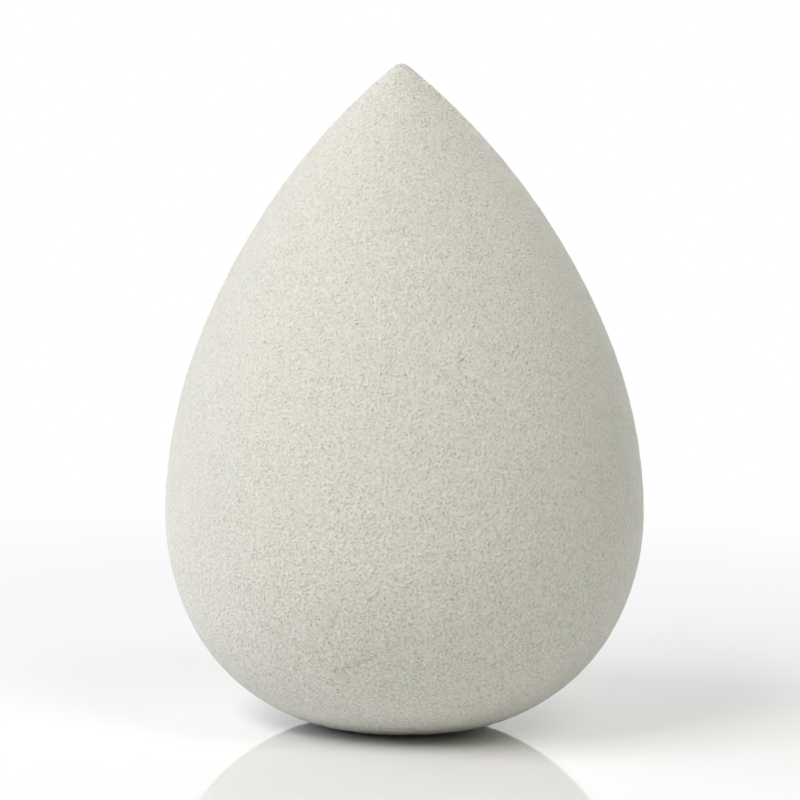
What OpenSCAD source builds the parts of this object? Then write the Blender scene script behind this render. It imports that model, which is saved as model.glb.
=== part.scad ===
// Makeup sponge: one solid piece of soft foam, cut and ground to a round teardrop.
// It stands on the small flat face under its bowl, with the point straight up.
// The outline is a chain of six arcs, each tangent to the next, turned about the axis.

/* [Body] */
// Height from the resting face to the tip
height = 60; // [52:0.5:68]
// Diameter at the belly, the widest level
belly_d = 43.1; // [38:0.1:48]
// Level of the belly above the resting face
belly_h = 19.4; // [17:0.1:21.4]

/* [Shoulder and tip] */
// Radius of the wall just above the belly
shoulder_r = 42.4; // [38:0.2:48]
// How far the shoulder's arc turns in from the vertical, in degrees
shoulder_turn = 20.4; // [17:0.2:24]
// Radius of the rounded tip
tip_r = 1.1; // [0.4:0.1:3]

/* [Bowl and sole] */
// How far the bowl's upper arc turns in from the vertical, in degrees
bowl_turn = 29; // [25:0.5:34]
// Diameter of the flat face that it rests on, pressed level by its own weight
foot_d = 5; // [3:0.2:7]
// Radius of the gently rounded sole round that face
sole_r = 28; // [24:0.5:34]
// How far the sole's arc turns up from the horizontal, in degrees
sole_turn = 6; // [4:0.5:8]

/* [Hidden] */

foam_colour = [0.84, 0.83, 0.78];
// Degrees of arc to each straight step of the outline
turn_per_step = 3;
$fn = 180;

belly_r = belly_d / 2;
belly = [belly_r, belly_h];

// Unit vector in the outline's plane, at an angle above the outward horizontal
function way(angle) = [cos(angle), sin(angle)];

// Angle of a vector in the outline's plane
function angle_of(vector) = atan2(vector[1], vector[0]);

// Points along an arc, from one angle round its centre to another, without the first
function arc(centre, r, from, to) =
    let (steps = ceil(abs(to - from) / turn_per_step))
    [for (i = [1 : steps]) centre + r * way(from + (to - from) * i / steps)];

// Above the belly the shoulder's arc is given, and the flank's arc goes on from its
// end and closes on the small circle of the tip
shoulder_centre = belly - shoulder_r * way(0);
shoulder_end = shoulder_centre + shoulder_r * way(shoulder_turn);
tip_centre = [0, height - tip_r];
to_flank = shoulder_end - tip_centre;
flank_r = (to_flank * to_flank - tip_r * tip_r) / (2 * (to_flank * way(shoulder_turn) - tip_r));
flank_centre = shoulder_end - flank_r * way(shoulder_turn);
tip_start = angle_of(tip_centre - flank_centre);

// Below the belly both turns are given, and the two arcs between the end of the
// sole and the belly get the radii that join those points
sole_centre = [foot_d / 2, sole_r];
sole_end = sole_turn - 90;
under_start = sole_centre + sole_r * way(sole_end);
under_change = way(-bowl_turn) - way(sole_end);
bowl_change = way(0) - way(-bowl_turn);
under_r = cross(belly - under_start, bowl_change) / cross(under_change, bowl_change);
bowl_r = cross(under_change, belly - under_start) / cross(under_change, bowl_change);
under_centre = under_start - under_r * way(sole_end);
bowl_centre = belly - bowl_r * way(0);

// Half of the section, from the axis out to the wall
module half_section() {
    polygon(concat(
        [[0, 0], [foot_d / 2, 0]],
        arc(sole_centre, sole_r, -90, sole_end),
        arc(under_centre, under_r, sole_end, -bowl_turn),
        arc(bowl_centre, bowl_r, -bowl_turn, 0),
        arc(shoulder_centre, shoulder_r, 0, shoulder_turn),
        arc(flank_centre, flank_r, shoulder_turn, tip_start),
        arc(tip_centre, tip_r, tip_start, 90)
    ));
}

// The whole sponge
module foam_body() {
    color(foam_colour) rotate_extrude() half_section();
}

foam_body();
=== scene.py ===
"""A makeup sponge: one piece of fine open-cell foam that stands on its foot, point up.

The foam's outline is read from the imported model, so the piece keeps the model's size.
Its skin is an even net of four-sided faces, with the relief of ground foam in the mesh
and the cells, which are finer than the net, in the material.
"""

import math

import bpy
import numpy as np
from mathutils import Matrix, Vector, noise

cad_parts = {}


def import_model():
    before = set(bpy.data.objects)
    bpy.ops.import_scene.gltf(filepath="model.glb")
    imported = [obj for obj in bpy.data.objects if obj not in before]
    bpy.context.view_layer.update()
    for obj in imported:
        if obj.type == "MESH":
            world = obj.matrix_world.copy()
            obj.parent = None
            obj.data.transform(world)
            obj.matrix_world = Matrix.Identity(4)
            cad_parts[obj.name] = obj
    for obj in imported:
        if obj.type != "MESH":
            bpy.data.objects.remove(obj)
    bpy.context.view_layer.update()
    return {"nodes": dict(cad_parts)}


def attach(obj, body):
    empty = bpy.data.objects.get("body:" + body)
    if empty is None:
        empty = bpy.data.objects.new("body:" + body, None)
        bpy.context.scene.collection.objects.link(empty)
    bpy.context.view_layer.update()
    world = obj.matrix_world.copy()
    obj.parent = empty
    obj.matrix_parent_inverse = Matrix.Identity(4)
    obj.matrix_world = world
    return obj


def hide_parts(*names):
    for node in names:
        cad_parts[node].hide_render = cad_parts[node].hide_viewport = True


MM = 0.001
WHITE = (1.0, 1.0, 1.0)

# Camera: where the photograph was taken from, found by fitting the sponge's outline and its
# mirror image on the table
CAMERA_X = -0.29 * MM
CAMERA_Y = -443.16 * MM
CAMERA_Z = 78.01 * MM
AIM_Z = 29.58 * MM
LENS = 222.6  # millimetres
SENSOR = 36.0  # millimetres across
CLIP = (0.01, 10.0)  # metres

# Light levels: a surface of colour 1 that faces the light renders about this bright
SKY = (0.27, 0.28, 0.27)
SKY_BEHIND = (0.08, 0.08, 0.07)  # low in the room behind the camera
SKY_BEYOND = (0.40, 0.40, 0.40)  # low in the room beyond the sponge
# Where those two come and go, by how far a direction points up or to +Y
LOW_ROOM = (0.15, 0.55)  # up: both go
BEHIND_ROOM = (-0.5, 0.1)  # to +Y: the first goes
BEYOND_ROOM = (0.15, 0.75)  # to +Y: the second comes
# Lamp: degrees from +X towards +Y, degrees above the floor, diameter in metres, and the
# level of red, green and blue
LAMPS = {
    "key": (-120.0, 42.0, 0.16, (0.27, 0.25, 0.24)),
    "high": (-145.0, 50.0, 0.26, (0.36, 0.35, 0.38)),
    "left": (-180.0, 20.0, 0.26, (0.17, 0.20, 0.22)),
    "fill": (-50.0, 50.0, 0.26, (0.20, 0.20, 0.18)),
    "rim": (65.0, 8.0, 0.26, (0.25, 0.26, 0.26)),
}
LAMP_AIM_Z = 0.02  # metres up the axis, the point that all lamps face
LAMP_DISTANCE = 0.60  # metres from that point

# Floor
FLOOR_HALF = 1.6  # metres, from its middle to each side
FLOOR_TILT = 1.2  # degrees, down to the right: in the photograph the sponge leans by so much
FLOOR_WHITE = 0.93  # to light that the floor passes on
FLOOR_SEEN = 1.0  # to the camera
FLOOR_IOR = 1.45
FLOOR_ROUGHNESS = 0.05
FLOOR_FADE = (0.06, 0.17)  # metres out, where the seen table goes over into white

# Net
SAME_RING = 0.02 * MM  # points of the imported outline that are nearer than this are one
LINE_STEPS = 12  # of the smooth outline, to each gap between two of those points
NET = 128  # faces along each side of the six patches

# Foot, in millimetres
SETTLE = 0.13  # how far the soft foot is pressed in by the sponge's weight
PRESSED_EDGE = 0.05  # how gently the pressed face goes over into the rest
FREE_ABOVE = 0.15  # the relief is whole from this height above the table

# Relief of the mesh, in millimetres; a place is a shift in the noise
WAVE = 0.03  # slow unevenness left by the grinding wheel
WAVE_LENGTH = 13.0
WAVE_PLACE = 39.0  # here its edges are nearest to the photograph's
SWELL = 0.03  # the weight makes the bowl swell by so much
SWELL_Z = (20.0, 30.0)  # and less between these heights
GRIND = 0.007
GRIND_LENGTH = 1.7
GRIND_PLACE = 7.3
GRAIN = 0.008
GRAIN_LENGTH = 0.62
GRAIN_PLACE = 3.1
FOOT_GRAIN = 0.098  # the grain at the rougher lower edge
FOOT_GRAIN_Z = (0.8, 1.8)  # which ends between these heights
BULGE = 0.13  # the piece bows this far to +X
BULGE_Z = 22.0  # at this height
BULGE_TIP = -0.17  # and its tip stands this far to -X

# Creases, in millimetres: the first rises from left to right, the second is steep and fainter
CREASE_HALF = 0.32  # half of the width of both
CREASE_DEPTH = 0.12
CREASE_X = (-6.9, 2.4)  # the ends of the line that it follows
CREASE_Z = (7.6, 11.2)
CREASE_START = (-7.0, -5.4)  # it deepens between these, from left to right
CREASE_END = (-3.6, 2.4)  # and runs out between these
FAINT_SHARE = 0.5  # of the first one's depth
FAINT_X = (-6.7, -5.2)  # the ends of the line that it follows
FAINT_Z = (10.6, 14.5)
FAINT_START = (9.8, 11.2)  # it deepens between these heights
FAINT_END = (13.9, 15.3)  # and runs out between these

# Foam: colours, linear, among them painted shade and painted highlight, and how they lie over
# each other
FOAM = (0.698, 0.668, 0.600)
FOAM_PATCH = (0.679, 0.683, 0.602)  # in greener patches
# Painted shade for the pores, hollows, pits and creases
PAINTED_PORE_SHADE = (0.36, 0.35, 0.29)
PAINTED_SHADE_SHARE = 0.34  # of the painted pore shade over the foam's colour in the deepest places
# Painted highlight for the high grit
PAINTED_WALL_HIGHLIGHT = (0.85, 0.84, 0.79)
PAINTED_HIGHLIGHT_SHARE = 0.40  # of the painted highlight over both in the highest places
PAINTED_SHADING_BELOW = 1.5  # both shares of painted shade and highlight are so many times as much near the foot
PAINTED_SHADING_Z = (26.0, 4.0)  # and grow to that between these heights, in millimetres
CREASE_SHADE = 0.5  # how dark the painted shade in a crease is against that in a pore
FOAM_IOR = 1.45
ROUGHNESS = (0.86, 0.97)  # of the walls and of the pores
MATT = 0.45  # how evenly the foam scatters light to all sides
SHEEN = 0.30  # of the fine walls that stand out of the surface
SHEEN_ROUGHNESS = 0.6

# Cells of the material, in millimetres
CELL = 0.35
HOLLOW = (0.05, 0.42)  # shares of a cell out from its middle, from full depth to none
HOLLOW_DEPTH = 0.06
STIR = 0.16
STIR_SCALE = 2.2  # waves to a millimetre
PIT_CELL = 0.9
PIT = (0.07, 0.17)  # as for the hollows
PIT_DEPTH = 0.05
PIT_SHADE = 0.8  # how dark the painted shade in a pit is against that in a pore

# Grit and patches of the material: noise, whose values are 0 to 1; sizes are in millimetres
MOST = (0.3, 0.7)  # most of the values lie between these
GRIT = 0.225
GRIT_HEIGHT = 0.105
GRIT_DARK = (0.5, 0.2)  # from these values, no painted shade, to full painted shade
# from these values, no painted highlight, to full painted highlight
GRIT_LIGHT = (0.5, 0.8)
PATCH = 1.5
UNEVEN = (0.70, 1.05)  # times as strong are the cells and the grit from place to place
UNEVEN_SCALE = 0.9  # waves to a millimetre


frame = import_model()


def outline_of(node):
    """The node's turned outline as (distance from the axis, height) from foot to tip."""
    mesh = frame["nodes"][node].data
    points = np.empty(len(mesh.vertices) * 3)
    mesh.vertices.foreach_get("co", points)
    points = points.reshape(-1, 3)
    out = np.hypot(points[:, 0], points[:, 1])
    up = points[:, 2]
    # Seen from a point on the axis, inside the piece, the outline turns from foot to tip
    inside = up.max() / 3
    turn = np.arctan2(out, inside - up)
    rings = np.unique(np.round(np.stack([turn, out, up], 1), 5), axis=0)
    kept = [rings[0]]
    for ring in rings[1:]:
        if math.dist(ring[1:], kept[-1][1:]) > SAME_RING:
            kept.append(ring)
    return np.array(kept)[:, 1:]


def smooth_line(points, steps):
    """A smooth curve through the points, with so many steps to each gap."""
    gaps = np.linalg.norm(np.diff(points, axis=0), axis=1)
    slopes = np.diff(points, axis=0) / gaps[:, None]
    ways = np.empty_like(points)
    ways[0] = slopes[0]
    ways[-1] = slopes[-1]
    share = (gaps[:-1] / (gaps[:-1] + gaps[1:]))[:, None]
    ways[1:-1] = slopes[:-1] * (1 - share) + slopes[1:] * share
    t = np.linspace(0, 1, steps, endpoint=False)[:, None]
    out = []
    for i, gap in enumerate(gaps):
        a, b = points[i], points[i + 1]
        out.append(
            a * (2 * t**3 - 3 * t**2 + 1)
            + b * (3 * t**2 - 2 * t**3)
            + gap * ways[i] * (t**3 - 2 * t**2 + t)
            + gap * ways[i + 1] * (t**3 - t**2)
        )
    return np.concatenate(out + [points[-1:]])


def net_on_ball(count):
    """Directions and faces of a ball made of six square patches, its corners shared."""
    steps = np.arange(count + 1)
    u, v = np.meshgrid(steps, steps, indexing="ij")
    low, high = np.zeros_like(u), np.full_like(u, count)
    patches = [
        (high, u, v), (low, v, u), (v, high, u), (u, low, v), (u, v, high), (v, u, low),
    ]
    places = np.concatenate([np.stack(p, -1).reshape(-1, 3) for p in patches])
    corners, which = np.unique(places, axis=0, return_inverse=True)
    which = which.reshape(len(patches), count + 1, count + 1)
    faces = np.stack(
        [which[:, :-1, :-1], which[:, 1:, :-1], which[:, 1:, 1:], which[:, :-1, 1:]], -1
    ).reshape(-1, 4)
    ways = np.tan((2 * corners / count - 1) * math.pi / 4)
    return ways / np.linalg.norm(ways, axis=1)[:, None], faces


def turned_skin(line):
    """The turned line as points, their normals and four-sided faces of about one area."""
    step = np.diff(line, axis=0)
    length = np.hypot(step[:, 0], step[:, 1])
    area = np.concatenate([[0], np.cumsum(length * (line[1:, 0] + line[:-1, 0]))])
    area /= area[-1]
    ways, faces = net_on_ball(NET)
    share = (1 + ways[:, 2]) / 2
    out = np.interp(share, area, line[:, 0])
    up = np.interp(share, area, line[:, 1])
    tangent = np.gradient(line, axis=0)
    tangent /= np.linalg.norm(tangent, axis=1)[:, None]
    normal_out = np.interp(share, area, tangent[:, 1])
    normal_up = np.interp(share, area, -tangent[:, 0])
    around = np.arctan2(ways[:, 1], ways[:, 0])
    cos, sin = np.cos(around), np.sin(around)
    points = np.stack([out * cos, out * sin, up], 1)
    normals = np.stack([normal_out * cos, normal_out * sin, normal_up], 1)
    normals /= np.linalg.norm(normals, axis=1)[:, None]
    return points, normals, faces


def pressed_foot(mm):
    """The points with the foot pressed flat on the tilted table, and their heights above it."""
    tilt = math.radians(FLOOR_TILT)
    table_up = np.array([math.sin(tilt), 0.0, math.cos(tilt)])
    before = mm @ table_up
    sunk = before - SETTLE
    above = (sunk + np.sqrt(sunk**2 + PRESSED_EDGE**2)) / 2
    above -= above.min()
    return mm + (above - before)[:, None] * table_up, above


def noise_at(points, length, place, depth=1):
    """Smooth noise, about -1 to 1, at each point, with waves about so long."""
    moved = points / length + place
    return np.array([noise.fractal(Vector(p), 1.0, 2.0, depth) for p in moved])


class Arrays:
    """The calls of Nodes that the relief needs, on arrays."""

    def math(self, operation, a, b=0.0):
        return {
            "ABSOLUTE": lambda: np.abs(a),
            "SUBTRACT": lambda: a - b,
            "MULTIPLY": lambda: a * b,
            "MAXIMUM": lambda: np.maximum(a, b),
            "LESS_THAN": lambda: (a < b) * 1.0,
        }[operation]()

    def spread(self, value, low, high, to_low=0.0, to_high=1.0, smooth=True):
        share = np.clip((value - low) / (high - low), 0, 1)
        if smooth:
            share = share * share * (3 - 2 * share)
        return to_low + (to_high - to_low) * share


class Nodes:
    """Short calls that add and join nodes of one tree."""

    def __init__(self, owner):
        owner.use_nodes = True
        self.tree = owner.node_tree
        self.tree.nodes.clear()

    def add(self, kind, sockets=None, **settings):
        node = self.tree.nodes.new(kind)
        for key, value in settings.items():
            setattr(node, key, value)
        for key, value in (sockets or {}).items():
            if isinstance(value, bpy.types.NodeSocket):
                self.tree.links.new(value, node.inputs[key])
            else:
                node.inputs[key].default_value = value
        return node

    def math(self, operation, a, b=0.0):
        return self.add("ShaderNodeMath", {0: a, 1: b}, operation=operation).outputs[0]

    def vector(self, operation, sockets):
        return self.add("ShaderNodeVectorMath", sockets, operation=operation).outputs

    def spread(self, value, low, high, to_low=0.0, to_high=1.0, smooth=True):
        ends = {"From Min": low, "From Max": high, "To Min": to_low, "To Max": to_high}
        return self.add(
            "ShaderNodeMapRange",
            {"Value": value, **ends},
            interpolation_type="SMOOTHSTEP" if smooth else "LINEAR",
        ).outputs["Result"]

    def mix(self, factor, a, b):
        return self.add("ShaderNodeMix", {0: factor, 6: a, 7: b}, data_type="RGBA").outputs[2]

    def mix_shaders(self, factor, a, b):
        return self.add("ShaderNodeMixShader", {0: factor, 1: a, 2: b}).outputs[0]

    def noise(self, place, scale, detail):
        return self.add(
            "ShaderNodeTexNoise", {"Vector": place, "Scale": scale, "Detail": detail}
        ).outputs

    def cells(self, place, size):
        """The distance to the nearest cell's middle, as a share of a cell."""
        return self.add(
            "ShaderNodeTexVoronoi", {"Vector": place, "Scale": 1 / size}, feature="F1"
        ).outputs["Distance"]


def crease(n, x, y, z):
    """Depth, 0 to 1, of the curved crease low on the front and of the fainter one above its end.

    n is a Nodes or an Arrays, and x, y and z are what it works on, in millimetres.
    """
    line = n.spread(x, *CREASE_X, *CREASE_Z)
    off = n.math("ABSOLUTE", n.math("SUBTRACT", z, line))
    deep = n.spread(off, 0.0, CREASE_HALF, 1.0, 0.0)
    deep = n.math("MULTIPLY", deep, n.spread(x, *CREASE_START))
    deep = n.math("MULTIPLY", deep, n.spread(x, *CREASE_END, 1.0, 0.0))
    line = n.spread(z, *FAINT_Z, *FAINT_X, smooth=False)
    off = n.math("ABSOLUTE", n.math("SUBTRACT", x, line))
    faint = n.spread(off, 0.0, CREASE_HALF, FAINT_SHARE, 0.0)
    faint = n.math("MULTIPLY", faint, n.spread(z, *FAINT_START))
    faint = n.math("MULTIPLY", faint, n.spread(z, *FAINT_END, 1.0, 0.0))
    front = n.math("LESS_THAN", y, 0.0)
    return n.math("MULTIPLY", n.math("MAXIMUM", deep, faint), front)


def foam_mesh(name):
    """The skin of the sponge, with its pressed foot, its relief and its bow."""
    line = smooth_line(outline_of("foam_body"), LINE_STEPS)
    points, normals, faces = turned_skin(line)
    mm, above = pressed_foot(points / MM)
    arrays = Arrays()
    up = mm[:, 2]
    relief = WAVE * noise_at(mm, WAVE_LENGTH, WAVE_PLACE)
    relief += arrays.spread(up, *SWELL_Z, SWELL, 0.0)
    relief += GRIND * noise_at(mm, GRIND_LENGTH, GRIND_PLACE, depth=2)
    # The lower edge is rougher, where its open pores stand against the dark gap
    grain = arrays.spread(up, *FOOT_GRAIN_Z, FOOT_GRAIN, GRAIN, smooth=False)
    relief += grain * noise_at(mm, GRAIN_LENGTH, GRAIN_PLACE)
    relief -= CREASE_DEPTH * crease(arrays, *mm.T)
    # The foot stays flat: the relief fades out on it
    relief *= np.clip(above / FREE_ABOVE, 0, 1)
    mm = mm + normals * relief[:, None]
    tip = line[-1, 1] / MM
    share = (mm[:, 2] - BULGE_Z) / (tip - BULGE_Z)
    mm[:, 0] += BULGE + (BULGE_TIP - BULGE) * share**2
    mesh = bpy.data.meshes.new(name)
    mesh.from_pydata((mm * MM).tolist(), [], faces.tolist())
    mesh.polygons.foreach_set("use_smooth", np.ones(len(faces), bool))
    mesh.update()
    return mesh


def rgba(colour):
    """The colour as a colour socket takes it."""
    return (*colour, 1.0)


def foam_material():
    """Matt foam: its open cells and pits as fine height, and as darker and lighter colour:
    painted shade in the deep places and painted highlight on the high ones.
    """
    material = bpy.data.materials.new("foam")
    n = Nodes(material)
    place = n.add("ShaderNodeTexCoord").outputs["Object"]
    mm = n.vector("SCALE", {0: place, "Scale": 1 / MM})["Vector"]
    # The cells are a little stirred, to all sides alike, so that they lie in no rows
    stir = n.noise(mm, STIR_SCALE, detail=1.0)["Color"]
    stir = n.vector("SUBTRACT", {0: stir, 1: (0.5, 0.5, 0.5)})["Vector"]
    stir = n.vector("SCALE", {0: stir, "Scale": STIR})["Vector"]
    cells = n.cells(n.vector("ADD", {0: mm, 1: stir})["Vector"], CELL)
    grit = n.noise(mm, 1 / GRIT, detail=0.0)["Fac"]
    strength = n.spread(n.noise(mm, UNEVEN_SCALE, detail=2.0)["Fac"], *MOST, *UNEVEN)
    hollow = n.math("MULTIPLY", n.spread(cells, *HOLLOW, 1.0, 0.0), strength)
    pit = n.spread(n.cells(mm, PIT_CELL), *PIT, 1.0, 0.0)
    # Height: the grit's less the depth of the hollows and of the rarer pits
    height = n.math("MULTIPLY", n.math("MULTIPLY", grit, GRIT_HEIGHT), strength)
    height = n.math("SUBTRACT", height, n.math("MULTIPLY", hollow, HOLLOW_DEPTH))
    height = n.math("SUBTRACT", height, n.math("MULTIPLY", pit, PIT_DEPTH))
    bump = n.add("ShaderNodeBump", {"Height": height, "Distance": MM}).outputs[0]
    # Painted shade darkens the hollows, the deep grit, the pits and the creases, and painted
    # highlight lightens the high grit
    x, y, z = n.add("ShaderNodeSeparateXYZ", {"Vector": mm}).outputs
    dark = n.math("MAXIMUM", hollow, n.spread(grit, *GRIT_DARK))
    dark = n.math("ADD", n.math("MULTIPLY", dark, strength), n.math("MULTIPLY", pit, PIT_SHADE))
    # Painted shade along the creases, over their real groove in the mesh
    dark = n.math("ADD", dark, n.math("MULTIPLY", crease(n, x, y, z), CREASE_SHADE))
    light = n.spread(grit, *GRIT_LIGHT)
    # The painted shade and highlight are stronger towards the foot
    painted_shading_share = n.spread(z, *PAINTED_SHADING_Z, 1.0, PAINTED_SHADING_BELOW)
    painted_shade_share = n.math("MULTIPLY", dark, n.math("MULTIPLY", painted_shading_share, PAINTED_SHADE_SHARE))
    painted_highlight_share = n.math("MULTIPLY", light, n.math("MULTIPLY", painted_shading_share, PAINTED_HIGHLIGHT_SHARE))
    patch = n.spread(n.noise(mm, 1 / PATCH, detail=1.0)["Fac"], *MOST)
    colour = n.mix(patch, rgba(FOAM), rgba(FOAM_PATCH))
    colour = n.mix(painted_shade_share, colour, rgba(PAINTED_PORE_SHADE))
    colour = n.mix(painted_highlight_share, colour, rgba(PAINTED_WALL_HIGHLIGHT))
    shader = n.add(
        "ShaderNodeBsdfPrincipled",
        {
            "Base Color": colour,
            "Roughness": n.spread(dark, 0.0, 1.0, *ROUGHNESS, smooth=False),
            "Diffuse Roughness": MATT,
            "Normal": bump,
            "IOR": FOAM_IOR,
            "Sheen Weight": SHEEN,
            "Sheen Roughness": SHEEN_ROUGHNESS,
        },
    ).outputs[0]
    n.add("ShaderNodeOutputMaterial", {"Surface": shader})
    return material


def floor_material():
    """A glossy white table, which further out is plain white to the camera."""
    material = bpy.data.materials.new("floor")
    n = Nodes(material)
    camera_ray = n.add("ShaderNodeLightPath").outputs["Is Camera Ray"]
    shade = n.spread(camera_ray, 0.0, 1.0, FLOOR_WHITE, FLOOR_SEEN, smooth=False)
    matt = n.add("ShaderNodeBsdfDiffuse", {"Color": shade}).outputs[0]
    settings = {"Color": rgba(WHITE), "Roughness": FLOOR_ROUGHNESS}
    gloss = n.add("ShaderNodeBsdfGlossy", settings).outputs[0]
    # The gloss is for the camera alone: to the sponge the white room would be too bright in it
    fresnel = n.add("ShaderNodeFresnel", {"IOR": FLOOR_IOR}).outputs[0]
    table = n.mix_shaders(n.math("MULTIPLY", fresnel, camera_ray), matt, gloss)
    place = n.add("ShaderNodeTexCoord").outputs["Object"]
    far = n.spread(n.vector("LENGTH", {0: place})["Value"], *FLOOR_FADE)
    glow = n.add("ShaderNodeEmission", {"Color": rgba(WHITE), "Strength": 1.0}).outputs[0]
    whole = n.mix_shaders(n.math("MULTIPLY", far, camera_ray), table, glow)
    n.add("ShaderNodeOutputMaterial", {"Surface": whole})
    return material


def world():
    """A room that is white to the camera and in a gloss, and gives a plain soft light."""
    studio = bpy.data.worlds.new("studio")
    bpy.context.scene.world = studio
    n = Nodes(studio)
    place = n.add("ShaderNodeTexCoord").outputs["Generated"]
    way = n.add("ShaderNodeSeparateXYZ", {"Vector": place}).outputs
    # Up to some height, the room is darker behind the camera and lighter beyond the sponge
    low = n.spread(way["Z"], *LOW_ROOM, 1.0, 0.0)
    behind = n.math("MULTIPLY", n.spread(way["Y"], *BEHIND_ROOM, 1.0, 0.0), low)
    beyond = n.math("MULTIPLY", n.spread(way["Y"], *BEYOND_ROOM), low)
    room = n.mix(behind, rgba(SKY), rgba(SKY_BEHIND))
    room = n.mix(beyond, room, rgba(SKY_BEYOND))
    sky = n.add("ShaderNodeBackground", {"Color": room, "Strength": 1.0}).outputs[0]
    white = n.add("ShaderNodeBackground", {"Color": rgba(WHITE), "Strength": 1.0}).outputs[0]
    path = n.add("ShaderNodeLightPath").outputs
    seen = n.math("MAXIMUM", path["Is Camera Ray"], path["Is Glossy Ray"])
    seen = n.math("MAXIMUM", seen, path["Is Transmission Ray"])
    n.add("ShaderNodeOutputWorld", {"Surface": n.mix_shaders(seen, sky, white)})


def put(name, data, location, target):
    """Put a lamp or a camera at a location, facing the target."""
    obj = bpy.data.objects.new(name, data)
    obj.location = location
    way = Vector(target) - obj.location
    obj.rotation_euler = way.to_track_quat("-Z", "Y").to_euler()
    bpy.context.collection.objects.link(obj)
    return obj


def lamp(name, around, up, size, level):
    """A disc of soft light, whose level is what a surface of colour 1 facing it adds."""
    data = bpy.data.lights.new(name, "AREA")
    data.shape = "DISK"
    data.size = size
    data.energy = (math.pi * LAMP_DISTANCE) ** 2
    data.color = level
    around, up = math.radians(around), math.radians(up)
    location = (
        LAMP_DISTANCE * math.cos(up) * math.cos(around),
        LAMP_DISTANCE * math.cos(up) * math.sin(around),
        LAMP_DISTANCE * math.sin(up) + LAMP_AIM_Z,
    )
    put(name, data, location, (0, 0, LAMP_AIM_Z))


def camera():
    """The photograph's camera."""
    data = bpy.data.cameras.new("camera")
    data.lens = LENS
    data.sensor_width = SENSOR
    data.clip_start, data.clip_end = CLIP
    location = (CAMERA_X, CAMERA_Y, CAMERA_Z)
    bpy.context.scene.camera = put("camera", data, location, (CAMERA_X, 0, AIM_Z))


def floor():
    """The table top under the sponge."""
    mesh = bpy.data.meshes.new("floor")
    signs = ((-1, -1), (1, -1), (1, 1), (-1, 1))
    corners = [(x * FLOOR_HALF, y * FLOOR_HALF, 0.0) for x, y in signs]
    mesh.from_pydata(corners, [], [(0, 1, 2, 3)])
    mesh.materials.append(floor_material())
    obj = bpy.data.objects.new("floor", mesh)
    obj.rotation_euler.y = math.radians(FLOOR_TILT)
    bpy.context.collection.objects.link(obj)


def sponge():
    """The one piece, in the place of the part's one node."""
    mesh = foam_mesh("sponge_foam")
    mesh.materials.append(foam_material())
    piece = bpy.data.objects.new("sponge_foam", mesh)
    bpy.context.collection.objects.link(piece)
    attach(piece, "root")
    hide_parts("foam_body")


camera()
world()
for lamp_name, settings in LAMPS.items():
    lamp(lamp_name, *settings)
floor()
sponge()
bpy.context.scene.view_settings.view_transform = "Standard"
